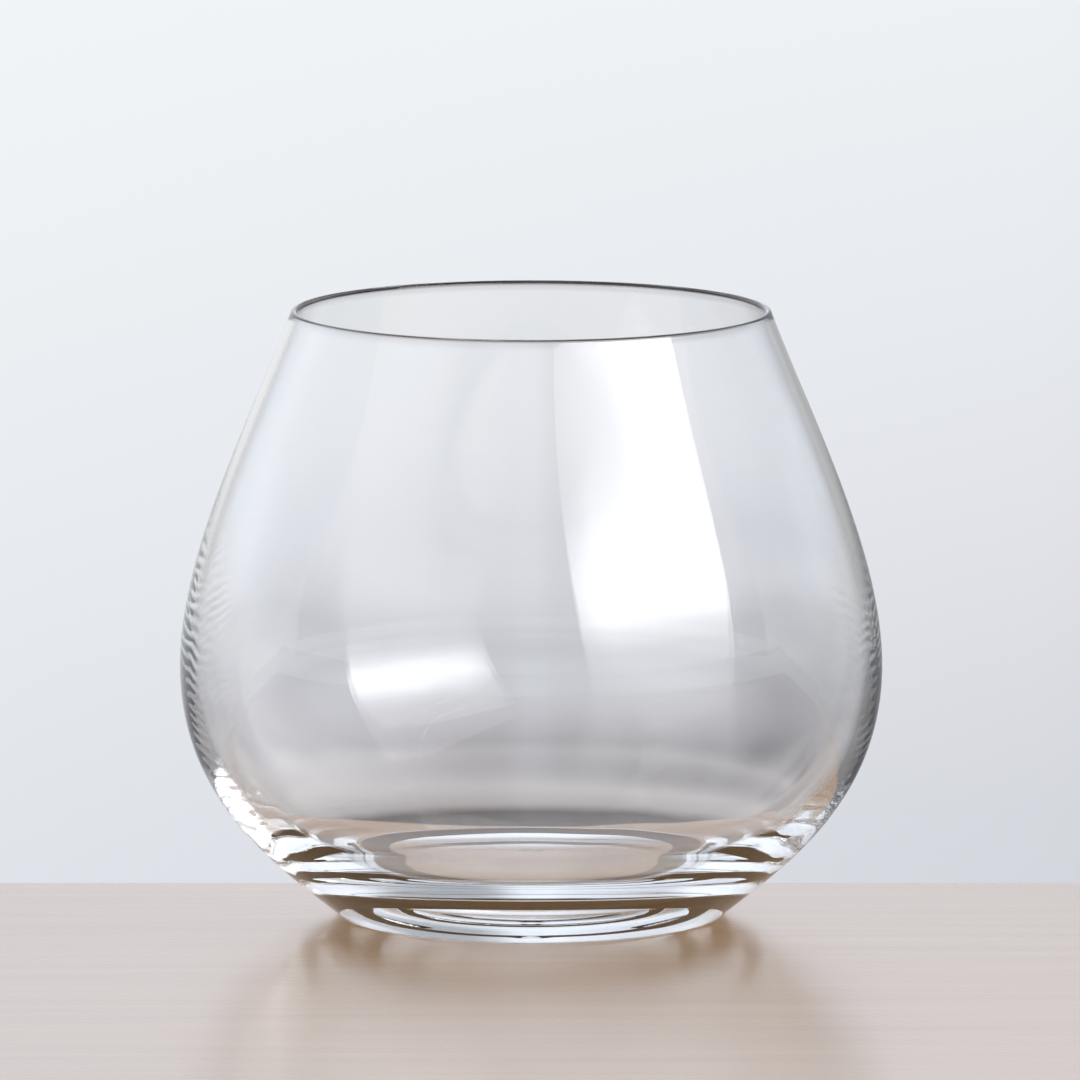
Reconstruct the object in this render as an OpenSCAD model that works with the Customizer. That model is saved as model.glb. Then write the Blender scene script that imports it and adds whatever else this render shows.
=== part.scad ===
// Stemless wine glass, one piece of clear glass, in millimetres.
// The origin is the middle of the standing ring, on the surface that the glass stands on,
// and the bowl's axis is +Z. The whole glass is one closed outline turned about that axis.

/* [Bowl] */
// Height of the glass from the table to the top of the lip
height = 88.5; // [80:0.5:100]
// Widest diameter, across the belly
belly_d = 102; // [96:0.5:112]
// Height of the widest place above the table
belly_h = 36.5; // [33:0.5:42]
// Radius that the outline bends with at the widest place
belly_bend_r = 40; // [32:0.5:46]
// Outer diameter of the lip
rim_d = 69.7; // [62:0.1:80]
// Lean of the wall at the lip, in degrees from upright
rim_lean = 21; // [14:0.5:27]

/* [Foot] */
// Diameter of the foot where the heel meets the flank
foot_d = 55.8; // [48:0.2:62]
// Lean of the flank above the foot, in degrees from upright
flank_lean = 51.5; // [46:0.5:55]
// Radius of the heel between the flank and the table
heel_r = 1.4; // [0.8:0.1:2.6]
// Width of the flat ring that the glass stands on
ring_w = 5.1; // [3:0.1:7]
// Radius that eases the flat ring into the hollow under the foot
ease_r = 4; // [2:0.5:8]
// Rise of the hollow under the foot, at its centre
punt_h = 0.5; // [0.3:0.1:1.5]

/* [Glass] */
// Thickness of the wall at the lip, which is rounded all the way over
rim_wall = 1; // [0.7:0.1:1.8]
// Thickness of the wall at the widest place inside
belly_wall = 1.8; // [1.4:0.1:3]
// How far the widest place inside lies above the widest place outside
belly_rise = 3; // [2:0.5:5]
// Radius that the inside bends with at its widest place
inner_bend_r = 30; // [24:0.5:34]
// Thickness of the base at its centre, above the hollow
base_wall = 4.9; // [3.5:0.1:7]
// How far the turn, where the wall inside starts to bend over into the floor, lies nearer to
// the axis than the widest place outside
turn_inset = 10.7; // [9.5:0.1:12.5]
// Height of the turn above the table
turn_h = 15.3; // [14.5:0.1:17]
// Lean of the wall inside at the turn, in degrees from upright
turn_lean = 46; // [42:0.5:50]

/* [Hidden] */
$fn = 180;

// How far each curve keeps the direction of its end, as shares of the height that it climbs
flank_hold_share = 0.33;
wall_hold_share = 0.35;
side_hold_share = 0.36;
// How far the inner wall keeps its lean above the turn, as a share of the way to the belly, and
// below it, as a share of the height down to the floor
above_turn_share = 0.46;
below_turn_share = 0.7;
// How far the floor of the bowl keeps level, as a share of the inner radius at the turn
floor_hold_share = 0.73;

// Steps along each stretch of the outline
dome_steps = 8;
ease_steps = 6;
heel_steps = 6;
flank_steps = 26;
wall_steps = 26;
lip_steps = 8;
side_steps = 26;
floor_steps = 26;

// A point at a distance from a centre, and the direction of a wall that leans from upright
function polar(centre, radius, angle) = centre + radius * [cos(angle), sin(angle)];
function leaning(angle) = [sin(angle), cos(angle)];

// A circular arc after its first point, because the stretch before it ends there
function arc(centre, radius, from, to, steps) =
    [for (i = [1:steps]) polar(centre, radius, from + (to - from) * i / steps)];

// A cubic curve after its first point: it leaves a towards b and reaches d from c
function curve(a, b, c, d, steps) = [
    for (i = [1:steps])
        let (t = i / steps, s = 1 - t)
            s * s * s * a + 3 * s * s * t * b + 3 * s * t * t * c + t * t * t * d
];

// Length of the upright handle at a widest place that makes a cubic curve bend there with
// radius bend_r, when the curve's other handle ends at the distance inset from its tangent
function upright_hold(bend_r, inset) = sqrt(2 / 3 * bend_r * inset);

// Outside: the heel, then two curves that share one tangent and one bend at the belly
heel_centre = [foot_d / 2 - heel_r * cos(flank_lean), heel_r];
flank_start = polar(heel_centre, heel_r, -flank_lean);
belly = [belly_d / 2, belly_h];
lip_r = rim_wall / 2;
lip_centre = [rim_d / 2 - lip_r, height - lip_r];
wall_end = polar(lip_centre, lip_r, rim_lean);
flank_handle = flank_start + flank_hold_share * (belly_h - flank_start.y) * leaning(flank_lean);
wall_handle = wall_end - wall_hold_share * (height - belly_h) * leaning(-rim_lean);
belly_handle_below = belly - [0, upright_hold(belly_bend_r, belly.x - flank_handle.x)];
belly_handle_above = belly + [0, upright_hold(belly_bend_r, belly.x - wall_handle.x)];

// Inside: the wall comes down from the lip past the belly to the turn, and then runs on to the
// level floor
floor_top = [0, punt_h + base_wall];
inner_belly = belly + [-belly_wall, belly_rise];
inner_end = polar(lip_centre, lip_r, rim_lean + 180);
inner_handle = inner_end - wall_hold_share * (height - inner_belly.y) * leaning(-rim_lean);
inner_handle_above = inner_belly + [0, upright_hold(inner_bend_r, inner_belly.x - inner_handle.x)];
turn = [belly.x - turn_inset, turn_h];
side_handle = inner_belly - [0, side_hold_share * (inner_belly.y - turn_h)];
turn_handle_above = turn + above_turn_share * norm(inner_belly - turn) * leaning(turn_lean);
turn_handle_below = turn - below_turn_share * (turn_h - floor_top.y) / cos(turn_lean) * leaning(turn_lean);
floor_handle = floor_top + [floor_hold_share * turn.x, 0];

// Underside: a shallow dome, and an arc that leaves the flat ring with no crease and
// touches the dome, which sets the dome's radius
ring_in = heel_centre.x - ring_w;
dome_r = (ring_in * ring_in + punt_h * punt_h) / (2 * punt_h) - ease_r;
dome_angle = asin(ring_in / (dome_r + ease_r));
dome_top = [0, punt_h];
dome_centre = dome_top - [0, dome_r];
ease_centre = [ring_in, ease_r];
ring_edge = [heel_centre.x, 0];

module glass() {
    color("lightcyan", 0.35)
        rotate_extrude()
            polygon(concat(
                [dome_top],
                arc(dome_centre, dome_r, 90, 90 - dome_angle, dome_steps),
                arc(ease_centre, ease_r, 270 - dome_angle, 270, ease_steps),
                [ring_edge],
                arc(heel_centre, heel_r, -90, -flank_lean, heel_steps),
                curve(flank_start, flank_handle, belly_handle_below, belly, flank_steps),
                curve(belly, belly_handle_above, wall_handle, wall_end, wall_steps),
                arc(lip_centre, lip_r, rim_lean, 90, lip_steps),
                arc(lip_centre, lip_r, 90, rim_lean + 180, lip_steps),
                curve(inner_end, inner_handle, inner_handle_above, inner_belly, wall_steps),
                curve(inner_belly, side_handle, turn_handle_above, turn, side_steps),
                curve(turn, turn_handle_below, floor_handle, floor_top, floor_steps)
            ));
}

glass();
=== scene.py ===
# %% [markdown]
# # A stemless wine glass in a studio
#
# This lesson dresses one piece of clear blown glass. Clear glass has no colour pattern of its
# own, so nearly everything that the eye reads comes from three things: the exact shape of its
# two surfaces, the small unevenness that blowing leaves in them, and what stands around it.
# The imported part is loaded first. It fixes the size and the place of everything that follows.

# %% Load the frame
import math

import bpy
import numpy as np
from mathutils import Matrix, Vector


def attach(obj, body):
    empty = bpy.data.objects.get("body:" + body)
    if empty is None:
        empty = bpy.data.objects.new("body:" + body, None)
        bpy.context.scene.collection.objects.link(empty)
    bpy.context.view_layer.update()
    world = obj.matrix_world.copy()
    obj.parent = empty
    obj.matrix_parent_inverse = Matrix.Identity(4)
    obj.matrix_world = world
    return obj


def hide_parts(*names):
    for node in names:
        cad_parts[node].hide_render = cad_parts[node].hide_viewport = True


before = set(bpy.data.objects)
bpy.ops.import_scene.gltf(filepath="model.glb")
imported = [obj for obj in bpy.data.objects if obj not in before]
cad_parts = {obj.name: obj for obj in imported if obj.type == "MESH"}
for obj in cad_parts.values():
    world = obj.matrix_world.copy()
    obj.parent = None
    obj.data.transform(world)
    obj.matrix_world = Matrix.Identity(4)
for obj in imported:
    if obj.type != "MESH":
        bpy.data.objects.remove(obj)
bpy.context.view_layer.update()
MM = 0.001

# %% [markdown]
# ## Two small helpers
#
# A colour is easiest to choose as a hex value, as it looks on a screen. Cycles works in linear
# light, so one function turns hex into linear. The second helper adds a node, sets its plain
# values and the stops of its colour ramp, and makes its links in one call, which keeps each
# material short enough to read.


# %% Helpers for colours and nodes
def linear(hex_colour):
    """sRGB hex to linear: c / 12.92 below 0.04045, and ((c + 0.055) / 1.055) ** 2.4 above it."""
    c = np.array([int(hex_colour[i : i + 2], 16) / 255 for i in (0, 2, 4)])
    c = np.where(c <= 0.04045, c / 12.92, ((c + 0.055) / 1.055) ** 2.4)
    return (*c.tolist(), 1.0)


def add_node(tree, kind, links=None, values=None, stops=(), **settings):
    """Adds a node with its settings, plain socket values and incoming links.

    The stops are those of a colour ramp, as (place, colour) from the lowest place to the highest.
    """
    node = tree.nodes.new(kind)
    for name, value in settings.items():
        setattr(node, name, value)
    for name, value in (values or {}).items():
        node.inputs[name].default_value = value
    for name, socket in (links or {}).items():
        tree.links.new(socket, node.inputs[name])
    for n, (place, colour) in enumerate(stops):
        items = node.color_ramp.elements
        item = items[n] if n < len(items) else items.new(place)
        item.position, item.color = place, colour
    return node


print("a mid grey in linear light:", np.round(linear("808080")[:3], 3).tolist())

# %% [markdown]
# ## The outline of the glass
#
# A drinking glass of this kind is blown into a turning mould, so both of its surfaces are
# surfaces of revolution and one outline says it all. It could be drawn by hand as a curve and
# spun with a Screw modifier. Here it is worked out from the sizes of the real thing, because
# glass bends light by the slope of its surface, and the eye sees a change of slope of a tenth
# of a degree. Cubic curves and arcs meet with one tangent, so no highlight breaks at a joint.

# %% The sizes of the glass, in millimetres and degrees
# Outside: the bowl, the lip, and the foot with its heel, its standing ring and its hollow
HEIGHT, BELLY_D, BELLY_H, BELLY_BEND_R = 88.5, 102.0, 36.5, 40.0
RIM_D, RIM_LEAN, RIM_WALL = 69.7, 21.0, 1.0
FOOT_D, FLANK_LEAN, HEEL_R, RING_W, EASE_R, PUNT_H = 55.8, 51.5, 1.4, 5.1, 4.0, 0.5
# Inside: the wall at the belly, the base at its centre, and the turn from the wall to the floor
BELLY_WALL, BELLY_RISE, INNER_BEND_R, BASE_WALL = 1.8, 2.0, 40.0, 4.9
TURN_R, TURN_H, TURN_LEAN = 40.3, 15.3, 46.0
# How far each curve keeps the direction of its end, as a share of its rise or its length
FLANK_HOLD, WALL_HOLD, SIDE_HOLD, FLOOR_HOLD = 0.33, 0.35, 0.42, 0.73
ABOVE_TURN, BELOW_TURN = 0.30, 0.70
print("wall at the lip %.1f mm, base %.1f mm" % (RIM_WALL, BASE_WALL))


# %% Arcs and curves of the outline
def polar(centre, radius, degrees):
    """The point at a distance and an angle from a centre."""
    a = np.radians(degrees)
    return np.array(centre) + radius * np.array([np.cos(a), np.sin(a)])


def leaning(degrees):
    """The direction of a wall that leans outwards from upright: (sin a, cos a)."""
    return polar((0, 0), 1.0, 90 - degrees)


def arc(centre, radius, start, end, steps):
    """Points centre + radius * (cos a, sin a), with a going evenly from start to end."""
    a = np.radians(np.linspace(start, end, steps + 1))[:, None]
    return np.array(centre) + radius * np.hstack([np.cos(a), np.sin(a)])


def curve(a, b, c, d, steps):
    """Cubic curve: s^3 a + 3 s^2 t b + 3 s t^2 c + t^3 d, with s = 1 - t."""
    t = np.linspace(0, 1, steps + 1)[:, None]
    s = 1 - t
    return s**3 * a + 3 * s**2 * t * b + 3 * s * t**2 * c + t**3 * d


def upright_hold(bend_r, inset):
    """Handle that bends a curve with the radius bend_r: its length is sqrt(2/3 * bend_r * inset).

    The inset is how far the curve's other handle lies from the tangent at this end.
    """
    return np.array([0, math.sqrt(2 / 3 * bend_r * inset)])


print("the wall at the lip runs along", np.round(leaning(-RIM_LEAN), 3).tolist())

# %% The outside, from the heel past the belly to the lip
heel = np.array([FOOT_D / 2 - HEEL_R * math.cos(math.radians(FLANK_LEAN)), HEEL_R])
flank_start = polar(heel, HEEL_R, -FLANK_LEAN)
belly = np.array([BELLY_D / 2, BELLY_H])
lip_r = RIM_WALL / 2
lip = np.array([RIM_D / 2 - lip_r, HEIGHT - lip_r])
wall_end, inner_end = polar(lip, lip_r, RIM_LEAN), polar(lip, lip_r, RIM_LEAN + 180)
flank_handle = flank_start + FLANK_HOLD * (BELLY_H - flank_start[1]) * leaning(FLANK_LEAN)
wall_handle = wall_end - WALL_HOLD * (HEIGHT - BELLY_H) * leaning(-RIM_LEAN)
below_belly = belly - upright_hold(BELLY_BEND_R, belly[0] - flank_handle[0])
above_belly = belly + upright_hold(BELLY_BEND_R, belly[0] - wall_handle[0])
print("the flank starts at", np.round(flank_start, 2).tolist(), "mm")

# %% The inside, from the lip down the wall and through the turn to the floor
inner_belly = belly + [-BELLY_WALL, BELLY_RISE]
inner_handle = inner_end - WALL_HOLD * (HEIGHT - inner_belly[1]) * leaning(-RIM_LEAN)
above_inner = inner_belly + upright_hold(INNER_BEND_R, inner_belly[0] - inner_handle[0])
floor_top = np.array([0, PUNT_H + BASE_WALL])
turn = np.array([TURN_R, TURN_H])
side_handle = inner_belly - [0, SIDE_HOLD * (inner_belly[1] - TURN_H)]
above_turn = turn + ABOVE_TURN * np.linalg.norm(inner_belly - turn) * leaning(TURN_LEAN)
below_turn = turn - BELOW_TURN * (TURN_H - floor_top[1]) / leaning(TURN_LEAN)[1] * leaning(TURN_LEAN)
floor_handle = floor_top + [FLOOR_HOLD * TURN_R, 0]
print("the floor inside is %.1f mm above the table" % floor_top[1])

# %% The underside, a shallow dome that an arc eases into the flat ring
ring_in = heel[0] - RING_W
dome_r = (ring_in**2 + PUNT_H**2) / (2 * PUNT_H) - EASE_R
dome_angle = math.degrees(math.asin(ring_in / (dome_r + EASE_R)))
print("the dome underneath has a radius of %.0f mm" % dome_r)

# %% The whole outline, from the middle of the underside round to the middle of the floor
DOME_STEPS, EASE_STEPS, HEEL_STEPS, FLANK_STEPS, WALL_STEPS = 34, 6, 8, 46, 40
LIP_STEPS, INNER_STEPS, SIDE_STEPS, FLOOR_STEPS = 10, 50, 48, 48
outline = np.vstack([
    arc((0, PUNT_H - dome_r), dome_r, 90, 90 - dome_angle, DOME_STEPS),
    arc((ring_in, EASE_R), EASE_R, 270 - dome_angle, 270, EASE_STEPS)[1:],
    arc(heel, HEEL_R, -90, -FLANK_LEAN, HEEL_STEPS),
    curve(flank_start, flank_handle, below_belly, belly, FLANK_STEPS)[1:],
    curve(belly, above_belly, wall_handle, wall_end, WALL_STEPS)[1:],
    arc(lip, lip_r, RIM_LEAN, 90, LIP_STEPS)[1:],
    arc(lip, lip_r, 90, RIM_LEAN + 180, LIP_STEPS)[1:],
    curve(inner_end, inner_handle, above_inner, inner_belly, INNER_STEPS)[1:],
    curve(inner_belly, side_handle, above_turn, turn, SIDE_STEPS)[1:],
    curve(turn, below_turn, floor_handle, floor_top, FLOOR_STEPS)[1:],
])
first_inside = len(outline) - 1 - (INNER_STEPS + SIDE_STEPS + FLOOR_STEPS)
print("outline of", len(outline), "points, highest", outline[:, 1].max(), "mm")

# %% [markdown]
# ## What blowing leaves in the glass
#
# The outside of a blown glass is pressed against the mould and comes out true. The inside only
# ever touches air, so it stays a little uneven: slow waves run down the thick lower wall, where
# the glass was hottest for longest. In this glass they are strongest at the left and the right,
# about a sixth of a millimetre at most, and calm in front and behind. Nobody feels them, but
# seen edge on they turn the calm reflections of the base into swirls. A shallow dent round the
# middle of the underside is the one mark that the mould has left. All of it is put into the
# mesh as real relief, because a bump map bends shading but not the path of light through a
# thick wall.

# %% Unevenness of the inner surface
# Each wave is (times round the axis, height in mm), and is drawn twice, with a slant and a start
# of its own. It slants by up to WAVE_TILT radians per mm, fades out round the height FADE_H, and
# keeps the share CALM in front and behind
WAVES_ROUND = (
    (3, 0.018), (5, 0.022), (8, 0.034), (11, 0.040),
    (15, 0.034), (19, 0.028), (24, 0.018), (31, 0.010),
)
WAVE_TILT, FADE_H, FADE_SPREAD, CALM, SEED = 0.18, 21.0, 1.8, 0.10, 7


def unevenness(angle, height, radius):
    """Sum of waves a * sin(m * angle + k * height + p), in mm, made weaker by three shares.

    Upwards by 1 / (1 + exp((height - FADE_H) / FADE_SPREAD)), towards the axis by
    (radius / TURN_R) ** 4, and away from the two sides by CALM + (1 - CALM) * cos(angle) ** 4.
    """
    rng = np.random.default_rng(SEED)
    relief = np.zeros(np.broadcast(angle, height).shape)
    for m, size in WAVES_ROUND:
        for _ in range(2):
            k, p = rng.uniform(-WAVE_TILT, WAVE_TILT), rng.uniform(0, 2 * math.pi)
            relief += size * np.sin(m * angle + k * height + p)
    low = 1 / (1 + np.exp((height - FADE_H) / FADE_SPREAD))
    off_axis = np.clip(radius / TURN_R, 0, 1) ** 4
    to_the_sides = CALM + (1 - CALM) * np.cos(angle) ** 4
    return relief * low * off_axis * to_the_sides


at_turn = unevenness(np.linspace(0, 2 * math.pi, 720), TURN_H, TURN_R)
print("waves of up to %.2f mm at the turn" % np.abs(at_turn).max())

# %% The mark under the foot, in millimetres
MARK_DEPTH, MARK_R, MARK_TOP = 0.10, 1.1, 2.0


def mould_mark(radius, height):
    """A dent, -depth * exp(-(radius / width) ** 2) in mm, and nothing above the underside."""
    return -MARK_DEPTH * np.exp(-((radius / MARK_R) ** 2)) * (height < MARK_TOP)


print("the dent is %.2f mm deep, %.2f mm from the axis" % (-mould_mark(*outline[1]), outline[1, 0]))

# %% [markdown]
# ## Turning the outline into a mesh
#
# The surface is a function of two parameters: the place along the outline and the angle round
# the axis. Blender's Spin would make the same form, but whole arrays are quicker, close the
# seam exactly and let the relief be added in the same breath. Each pole is one vertex that
# stays on the outline, with a fan of triangles, and the faces point outwards, into the air, on
# both walls.


# %% The surface of revolution
def turned_surface(name, profile_mm, around, relief):
    """Points (r cos a, r sin a, z), with r and z moved by the relief along the outline's normal."""
    angle = np.linspace(0, 2 * math.pi, around, endpoint=False)[None, :]
    along = np.gradient(profile_mm, axis=0)
    along /= np.linalg.norm(along, axis=1)[:, None]
    r, z = profile_mm[:, 0:1], profile_mm[:, 1:2]
    move = relief(angle, z, r)
    rr, zz = r + along[:, 1:2] * move, z - along[:, 0:1] * move
    rings = np.stack([rr * np.cos(angle), rr * np.sin(angle), zz], axis=-1)[1:-1] * MM
    poles = np.array([[0, 0, profile_mm[0, 1]], [0, 0, profile_mm[-1, 1]]]) * MM
    points = np.vstack([rings.reshape(-1, 3), poles])
    count = len(rings)
    i, j = np.meshgrid(np.arange(count - 1), np.arange(around), indexing="ij")
    k = (j + 1) % around
    quads = np.stack(
        [i * around + j, i * around + k, (i + 1) * around + k, (i + 1) * around + j], axis=-1,
    )
    j, last = np.arange(around), (count - 1) * around
    k = (j + 1) % around
    first_fan = np.stack([np.full(around, len(points) - 2), k, j], axis=-1)
    last_fan = np.stack([np.full(around, len(points) - 1), last + j, last + k], axis=-1)
    faces = quads.reshape(-1, 4).tolist() + first_fan.tolist() + last_fan.tolist()
    mesh = bpy.data.meshes.new(name)
    mesh.from_pydata(points.tolist(), [], faces)
    mesh.polygons.foreach_set("use_smooth", np.ones(len(mesh.polygons), bool))
    mesh.update()
    piece = bpy.data.objects.new(name, mesh)
    bpy.context.collection.objects.link(piece)
    triangles = 2 * quads.size // 4 + 2 * around
    print(name, "has", triangles, "triangles")
    return piece


# %% The blown glass
AROUND = 330
inside = (np.arange(len(outline)) >= first_inside)[:, None]


def blown_relief(angle, height, radius):
    """The waves on the inside and the mark on the outside, in mm along the outline's normal."""
    return inside * unevenness(angle, height, radius) + mould_mark(radius, height)


glass = turned_surface("blown_glass", outline, AROUND, blown_relief)
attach(glass, "root")
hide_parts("glass")

# %% The side that touched only air, as an attribute for the material
on_rings = (np.arange(1, len(outline) - 1) >= first_inside).astype(float)
on_underside_pole, on_floor_pole = 0.0, 1.0
share = np.append(np.repeat(on_rings, AROUND), [on_underside_pole, on_floor_pole])
air_side = glass.data.attributes.new("air_side", "FLOAT", "POINT")
air_side.data.foreach_set("value", share)
print("%.0f percent of the vertices are on the air side" % (100 * share.mean()))

# %% [markdown]
# ## Clear blown glass
#
# Soda-lime glass has an IOR of about 1.52 and a fire-polished skin, so its roughness is zero.
# A trace of iron tints it faintly, and that shows only where light runs through centimetres of
# it, so the tint is a volume absorption and not a surface colour. The inner skin also carries a
# fine ripple from the turning in the mould, 1.65 mm from crest to crest. It comes in patches
# and is seen only towards the two sides, where the wall turns away from the eye. It is far too
# small for the mesh, so a bump carries it, and the attribute of the mesh keeps it on the air
# side. For shadow rays alone the glass is a nearly clear pane, because Cycles would otherwise
# give the table under it no lamplight at all.

# %% The ripple, as numbers in metres
# A wave texture repeats every 0.314 / Scale, and a noise makes patches of about 1 / Scale
RIPPLE_SCALE, RIPPLE_BEND, RIPPLE_HEIGHT = 190.0, 8.0, 0.00003
PATCH_SCALE, PATCH_LOW, PATCH_HIGH = 90.0, 0.38, 0.62
# Distances to the left or right of the axis that the ripple sets in at and is full from
SIDE_START, SIDE_FULL, MIDDLE_SHARE = 0.0445, 0.0492, 0.01
print("ripple of %.2f mm from crest to crest" % (math.pi / 10 / RIPPLE_SCALE / MM))

# %% The glass material
# Fire-polished soda-lime glass: each reflection is sharp, and the rest is what the body bends
clear_glass = bpy.data.materials.new("clear_soda_lime_glass_blown")
clear_glass.use_nodes = True
tree = clear_glass.node_tree
tree.nodes.clear()
where = add_node(tree, "ShaderNodeTexCoord")
on_air_side = add_node(tree, "ShaderNodeAttribute", attribute_name="air_side")
ripple = add_node(
    tree, "ShaderNodeTexWave", {"Vector": where.outputs["Object"]},
    {"Scale": RIPPLE_SCALE, "Distortion": RIPPLE_BEND, "Detail": 1.0, "Detail Scale": 0.6},
    wave_type="BANDS", bands_direction="Z",
)
from_axis = add_node(tree, "ShaderNodeSeparateXYZ", {0: where.outputs["Object"]})
sideways = add_node(tree, "ShaderNodeMath", {0: from_axis.outputs["X"]}, operation="ABSOLUTE")
at_side = add_node(
    tree, "ShaderNodeMapRange", {"Value": sideways.outputs[0]},
    {"From Min": SIDE_START, "From Max": SIDE_FULL, "To Min": MIDDLE_SHARE, "To Max": 1.0},
)
inside_ripple = add_node(
    tree, "ShaderNodeMath", {0: ripple.outputs["Fac"], 1: on_air_side.outputs["Fac"]},
    operation="MULTIPLY",
)
patches = add_node(
    tree, "ShaderNodeTexNoise", {"Vector": where.outputs["Object"]},
    {"Scale": PATCH_SCALE, "Detail": 1.0},
)
in_patches = add_node(
    tree, "ShaderNodeMapRange", {"Value": patches.outputs["Fac"]},
    {"From Min": PATCH_LOW, "From Max": PATCH_HIGH},
)
strength = add_node(
    tree, "ShaderNodeMath", {0: in_patches.outputs[0], 1: at_side.outputs[0]},
    operation="MULTIPLY",
)
ripple_height = add_node(
    tree, "ShaderNodeMath", {0: inside_ripple.outputs[0], 1: strength.outputs[0]},
    operation="MULTIPLY",
)
ripple_bump = add_node(
    tree, "ShaderNodeBump", {"Height": ripple_height.outputs[0]},
    {"Strength": 1.0, "Distance": RIPPLE_HEIGHT},
)
skin = add_node(
    tree, "ShaderNodeBsdfPrincipled", {"Normal": ripple_bump.outputs["Normal"]},
    {"Base Color": linear("FFFFFF"), "Roughness": 0.0, "IOR": 1.52, "Transmission Weight": 1.0},
)
lamp_ray = add_node(tree, "ShaderNodeLightPath")
let_light_by = add_node(tree, "ShaderNodeBsdfTransparent", values={"Color": linear("F0F0F0")})
surface = add_node(
    tree, "ShaderNodeMixShader",
    {0: lamp_ray.outputs["Is Shadow Ray"], 1: skin.outputs[0], 2: let_light_by.outputs[0]},
)
tint = add_node(
    tree, "ShaderNodeVolumeAbsorption", values={"Color": linear("CAD7DC"), "Density": 3.0},
)
add_node(
    tree, "ShaderNodeOutputMaterial", {"Surface": surface.outputs[0], "Volume": tint.outputs[0]},
)
glass.data.materials.append(clear_glass)
print(clear_glass.name, "with", len(tree.nodes), "nodes")

# %% [markdown]
# ## How far a ray is followed
#
# In the heavy base the two surfaces face each other at a slant, and a ray can be thrown to and
# fro between them more than twenty times before it finds a way out. Blender stops after 4
# mirror bounces and 12 bounces in all, and what it hasn't found by then comes out black: the
# base turns to brown mud. Followed to its end, the same ray brings back the swirls of the room
# and the table that make thick glass sparkle.

# %% Bounces for thick glass
BOUNCES = 40
cycles = bpy.context.scene.cycles
cycles.max_bounces = cycles.transmission_bounces = cycles.glossy_bounces = BOUNCES
print("a ray is followed for", cycles.max_bounces, "bounces")

# %% [markdown]
# ## The table top
#
# The glass stands on a pale maple board whose back edge runs close behind it. Seen at a low
# angle, its matt lacquer mirrors the bright wall and looks almost white, while the steep view
# through the glass shows the tan wood itself. That is why the wood gets its true, deeper colour
# and the sheen is left to the lacquer: a soft gloss with an IOR of 1.55, over wood that hardly
# shines. Only the board's top and back edge are in view, so a slab does.

# %% The table board, in millimetres
EDGE, HALF_WIDTH, FRONT, THICKNESS = 28.0, 2600.0, 3200.0, 24.0
top = [(-HALF_WIDTH, -FRONT), (HALF_WIDTH, -FRONT), (HALF_WIDTH, EDGE), (-HALF_WIDTH, EDGE)]
corners = np.array([(x, y, z) for z in (0, -THICKNESS) for x, y in top]) * MM
sides = [(0, 1, 2, 3), (7, 6, 5, 4), (0, 4, 5, 1), (1, 5, 6, 2), (2, 6, 7, 3), (3, 7, 4, 0)]
board_mesh = bpy.data.meshes.new("table_board")
board_mesh.from_pydata(corners.tolist(), [], sides)
board = bpy.data.objects.new("table_board", board_mesh)
bpy.context.collection.objects.link(board)
print("board edge", EDGE, "mm behind the axis")

# %% The lacquered maple
# Matt lacquer on wood: a wide, soft sheen that hides the grain at a low angle
GRAIN_PER_METRE = (9.0, 160.0, 60.0)  # streaks about 110 mm long and 6 mm apart
PORES_PER_METRE, PORE_DEPTH = 900.0, 0.00008  # specks of about 1 mm, in metres
wood = bpy.data.materials.new("pale_lacquered_maple")
wood.use_nodes = True
tree = wood.node_tree
tree.nodes.clear()
where = add_node(tree, "ShaderNodeTexCoord")
along_grain = add_node(
    tree, "ShaderNodeMapping", {"Vector": where.outputs["Object"]}, {"Scale": GRAIN_PER_METRE},
)
grain = add_node(
    tree, "ShaderNodeTexNoise", {"Vector": along_grain.outputs[0]},
    {"Scale": 1.0, "Detail": 6.0, "Roughness": 0.6},
)
grain_colour = add_node(
    tree, "ShaderNodeValToRGB", {"Fac": grain.outputs["Fac"]},
    stops=[(0.3, linear("967654")), (0.7, linear("A1815E"))],
)
pores = add_node(
    tree, "ShaderNodeTexNoise", {"Vector": where.outputs["Object"]},
    {"Scale": PORES_PER_METRE, "Detail": 3.0, "Roughness": 0.6},
)
pore_bump = add_node(
    tree, "ShaderNodeBump", {"Height": pores.outputs["Fac"]},
    {"Strength": 1.0, "Distance": PORE_DEPTH},
)
lacquer = add_node(
    tree, "ShaderNodeBsdfPrincipled",
    {"Base Color": grain_colour.outputs["Color"], "Normal": pore_bump.outputs["Normal"]},
    {"Roughness": 0.4, "IOR": 1.3, "Coat Weight": 1.0, "Coat Roughness": 0.22, "Coat IOR": 1.55},
)
add_node(tree, "ShaderNodeOutputMaterial", {"Surface": lacquer.outputs[0]})
board_mesh.materials.append(wood)
print(wood.name, "with", len(tree.nodes), "nodes")

# %% [markdown]
# ## The room around the glass
#
# Glass shows its surroundings, so the room is part of its look. It could be built of walls, but
# here the world gives each direction its own light, so that the camera, a reflection and a
# refraction all agree. A direction has three parts: X to the right, Y away from the camera and
# Z upwards. Two helpers turn one of these parts into a colour or into a share of the light.


# %% Light by direction
def graded(tree, socket, stops):
    """Colour of a socket's value: stops are (value, colour), with straight lines between them."""
    low, high = stops[0][0], stops[-1][0]
    spread = add_node(
        tree, "ShaderNodeMapRange", {"Value": socket}, {"From Min": low, "From Max": high},
    )
    places = [((value - low) / (high - low), colour) for value, colour in stops]
    node = add_node(tree, "ShaderNodeValToRGB", {"Fac": spread.outputs[0]}, stops=places)
    return node.outputs["Color"]


def shaded(tree, socket, stops):
    """Share of the light at a socket's value: stops are (value, share)."""
    return graded(tree, socket, [(value, (share, share, share, 1.0)) for value, share in stops])


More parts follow.
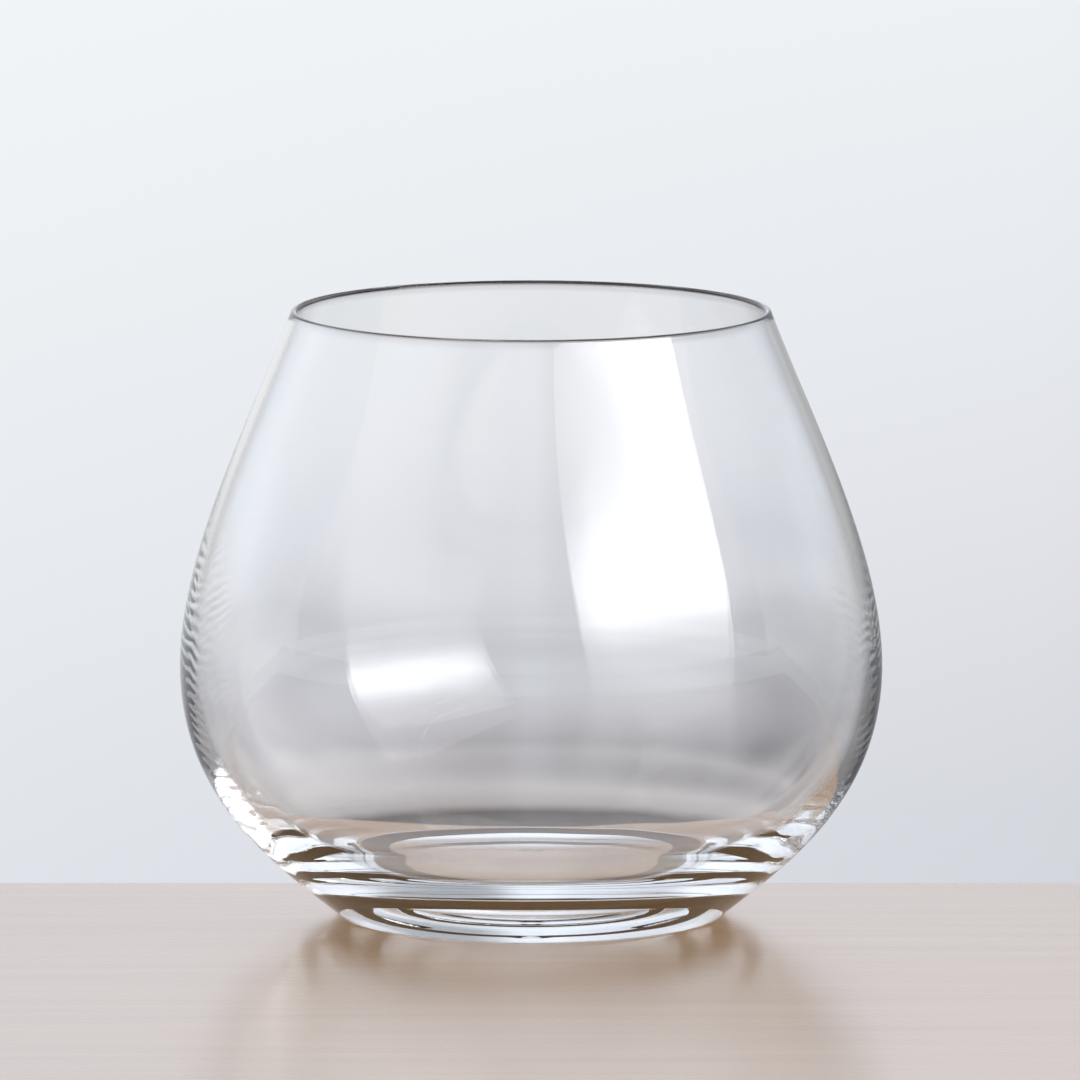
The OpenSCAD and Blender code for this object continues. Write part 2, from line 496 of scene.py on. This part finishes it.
room = bpy.data.worlds.new("pale_studio")
bpy.context.scene.world = room
room.use_nodes = True
tree = room.node_tree
tree.nodes.clear()
where = add_node(tree, "ShaderNodeTexCoord")
towards = add_node(tree, "ShaderNodeSeparateXYZ", {0: where.outputs["Generated"]})
FACTOR, COLOUR_A, COLOUR_B, MIXED = 0, 6, 7, 2  # the colour sockets of a Mix node
UNSHADED = (1.0, 1.0, 1.0, 1.0)
print("world:", room.name)

# %% [markdown]
# ## The wall
#
# Far below lies the dark floor beyond the table's edge. The wall behind it is pale, with a
# slightly darker band low down, and grows lighter upwards to a cool white. Its lower part is a
# little lighter on the left than on the right, and the two meet behind the glass. Much of what
# the flank shows is this picture, bent and squeezed.

# %% The wall behind the glass, as (Z of the direction, colour)
MIDDLE = 0.03  # half the width, along X, of the change from the left to the right
ABOVE_WALL = (1.02, 1.09, 1.22, 1.0)
LOW_WALL = [
    (-0.80, linear("2E2A27")), (-0.50, linear("453E39")), (-0.42, linear("A8A4A6")),
    (-0.33, linear("BCB9BA")), (-0.28, linear("C4C2C5")), (-0.26, linear("BEBDC1")),
    (-0.24, linear("B2B1B7")), (-0.212, linear("BDBDC3")), (-0.195, linear("C5C6CC")),
    (-0.187, linear("CBCDD3")), (-0.179, linear("D4D6DC")), (-0.171, linear("D9DBE1")),
]
LEFT_WALL = [
    (-0.155, linear("E1E4EA")), (-0.145, linear("E5E8ED")), (-0.135, linear("E9ECF1")),
    (-0.122, linear("EDF1F4")), (-0.109, linear("F0F4F7")),
]
RIGHT_WALL = [
    (-0.155, linear("D5D7DE")), (-0.145, linear("DCDEE4")), (-0.135, linear("E3E5EA")),
    (-0.122, linear("E9ECF1")), (-0.109, linear("EEF2F5")),
]
HIGH_WALL = [(0.02, linear("FFFFFF")), (0.10, ABOVE_WALL)]
left_wall = graded(tree, towards.outputs["Z"], LOW_WALL + LEFT_WALL + HIGH_WALL)
right_wall = graded(tree, towards.outputs["Z"], LOW_WALL + RIGHT_WALL + HIGH_WALL)
rightwards = add_node(
    tree, "ShaderNodeMapRange", {"Value": towards.outputs["X"]},
    {"From Min": -MIDDLE, "From Max": MIDDLE},
)
wall = add_node(
    tree, "ShaderNodeMix",
    {FACTOR: rightwards.outputs[0], COLOUR_A: left_wall, COLOUR_B: right_wall},
    data_type="RGBA",
)
print("the wall has", len(LOW_WALL + LEFT_WALL + HIGH_WALL), "stops on each side")

# %% [markdown]
# ## Shade and light from the sides
#
# A wall that is equally bright everywhere makes dull glass. Here both ends of the room are
# bright and the wall is shaded to the right of the middle, which gives the bowl its greys.
# A dark flag, a round board such as a photographer hangs beside the set, deepens one place low
# behind the glass on the right.

# %% Brighter and darker sides
to_side = shaded(tree, towards.outputs["X"], [
    (-0.90, 1.25), (-0.62, 1.10), (-0.48, 0.75), (-0.12, 0.94), (-0.07, 1.04), (-0.03, 1.0),
    (0.03, 0.99), (0.06, 0.86), (0.10, 0.66), (0.15, 0.48), (0.30, 0.44), (0.50, 0.55),
    (0.66, 1.05), (0.90, 1.25),
])
FLAG_X, FLAG_Z, FLAG_R, FLAG_SHARE = 0.060, -0.250, 0.085, 0.34
from_flag = add_node(
    tree, "ShaderNodeMapping", {"Vector": where.outputs["Generated"]},
    {"Location": (-FLAG_X, 0.0, -FLAG_Z), "Scale": (1.0, 0.0, 1.0)},
)
in_radii = add_node(
    tree, "ShaderNodeVectorMath", {0: from_flag.outputs[0]},
    {1: (1 / FLAG_R, 0.0, 1 / FLAG_R)}, operation="MULTIPLY",
)
flag_distance = add_node(
    tree, "ShaderNodeVectorMath", {0: in_radii.outputs[0]}, operation="LENGTH",
)
flag = add_node(
    tree, "ShaderNodeMapRange", {"Value": flag_distance.outputs["Value"]},
    {"To Min": FLAG_SHARE}, interpolation_type="SMOOTHSTEP",
)
side_share = add_node(
    tree, "ShaderNodeVectorMath", {0: to_side, 1: flag.outputs[0]}, operation="MULTIPLY",
)
print("the flag keeps", FLAG_SHARE, "of the light in its middle")

# %% [markdown]
# ## The dark band in front
#
# Rays that leave the glass towards the camera's side of the room must find something dark, or
# the edges of the bowl would vanish in white. So a dark band runs across the front of the room.
# It starts just above level, is darkest about 10 degrees up and has faded out by 30 degrees,
# where the bright ceiling begins.

# %% The band and the ceiling, and the whole room put together
by_depth = shaded(tree, towards.outputs["Y"], [
    (-1.0, 0.14), (-0.1, 0.20), (0.15, 0.45), (0.50, 1.0), (1.0, 1.0),
])
below_band = shaded(tree, towards.outputs["Z"], [(-0.2, 1.0), (0.03, 1.0), (0.12, 0.0), (1.0, 0.0)])
from_band_up = add_node(
    tree, "ShaderNodeMix", {FACTOR: below_band, COLOUR_A: by_depth}, {COLOUR_B: UNSHADED},
    data_type="RGBA",
)
overhead = shaded(tree, towards.outputs["Z"], [
    (0.0, 0.0), (0.20, 0.0), (0.34, 0.7), (0.48, 1.0), (1.0, 1.0),
])
band_share = add_node(
    tree, "ShaderNodeMix", {FACTOR: overhead, COLOUR_A: from_band_up.outputs[MIXED]},
    {COLOUR_B: UNSHADED}, data_type="RGBA",
)
wall_light = add_node(
    tree, "ShaderNodeVectorMath", {0: wall.outputs[MIXED], 1: side_share.outputs[0]},
    operation="MULTIPLY",
)
room_light = add_node(
    tree, "ShaderNodeVectorMath", {0: wall_light.outputs[0], 1: band_share.outputs[MIXED]},
    operation="MULTIPLY",
)
background = add_node(
    tree, "ShaderNodeBackground", {"Color": room_light.outputs[0]}, {"Strength": 1.0},
)
add_node(tree, "ShaderNodeOutputWorld", {"Surface": background.outputs[0]})
print("room with", len(tree.nodes), "nodes")

# %% [markdown]
# ## Lamps
#
# One large softbox stands close to the glass, to the right of the camera. Its image is the tall
# white window on the bowl, and the smaller ones on the back wall are the same lamp again. The
# cloth of a softbox is never lit evenly: it is brightest across the middle and weaker towards
# both ends and one side. A lamp's energy in watts is its brightness times its area times pi, so
# it is set from the brightness that its image should have.

# %% The softbox
# Stops are (place on the cloth from 0 to 1, share of the brightness)
GLOW_UPWARDS = [
    (0.0, 0.20), (0.14, 0.42), (0.28, 0.70), (0.42, 2.60), (0.54, 2.20), (0.70, 0.60), (1.0, 0.40),
]
GLOW_ACROSS = [(0.0, 0.5), (0.20, 1.0), (1.0, 1.0)]
BOWL_MIDDLE = (0, 0, 0.045)


def soft_box(name, azimuth, elevation, distance, width, height, brightness):
    """An area lamp that faces the bowl from (sin a cos e, -cos a cos e, sin e) * distance."""
    a, e = math.radians(azimuth), math.radians(elevation)
    away = Vector((math.sin(a) * math.cos(e), -math.cos(a) * math.cos(e), math.sin(e)))
    lamp = bpy.data.lights.new(name, "AREA")
    lamp.shape, lamp.size, lamp.size_y = "RECTANGLE", width, height
    lamp.energy = brightness * width * height * math.pi
    lamp.use_nodes = True
    tree = lamp.node_tree
    cloth = add_node(tree, "ShaderNodeNewGeometry")
    place = add_node(tree, "ShaderNodeSeparateXYZ", {0: cloth.outputs["Parametric"]})
    upwards = shaded(tree, place.outputs["Y"], GLOW_UPWARDS)
    across = shaded(tree, place.outputs["X"], GLOW_ACROSS)
    glow = add_node(tree, "ShaderNodeMath", {0: upwards, 1: across}, operation="MULTIPLY")
    tree.links.new(glow.outputs[0], tree.nodes["Emission"].inputs["Strength"])
    box = bpy.data.objects.new(name, lamp)
    box.location = Vector(BOWL_MIDDLE) + away * distance
    box.rotation_euler = (-away).to_track_quat("-Z", "Y").to_euler()
    bpy.context.collection.objects.link(box)


soft_box(
    "key_softbox", azimuth=44, elevation=25, distance=1.0, width=1.0, height=1.15, brightness=2.7,
)
print("lamps:", [lamp.name for lamp in bpy.data.lights])

# %% [markdown]
# ## The camera
#
# The height of the rim's ellipse against its width gives the angle that the camera looks down
# at, and how much flatter it is than the ellipse of the foot gives the distance. Both say a
# long lens about 2.6 m away, a little above the glass, tilted down by 8 degrees. Depth of field
# stays off, because the photograph is sharp from the rim to the foot.

# %% The camera
PHOTO_PX, FOCAL_PX, AXIS_PX = 1080, 18100, 531  # width, focal length, and where the axis stands
SENSOR_MM, AWAY, EYE_HEIGHT, TILT = 36.0, 2.6, 0.4181, 7.954  # in mm, metres and degrees
camera_data = bpy.data.cameras.new("camera")
camera_data.sensor_width = SENSOR_MM
camera_data.lens = FOCAL_PX / PHOTO_PX * SENSOR_MM
camera_data.clip_end = 100.0
camera = bpy.data.objects.new("camera", camera_data)
camera.location = (0.0, -AWAY, EYE_HEIGHT)
yaw = (AXIS_PX - PHOTO_PX / 2) / FOCAL_PX
camera.rotation_euler = (math.radians(90 - TILT), 0.0, yaw)
bpy.context.collection.objects.link(camera)
bpy.context.scene.camera = camera
bpy.context.scene.view_settings.view_transform = "Standard"
print("lens %.1f mm" % camera_data.lens)
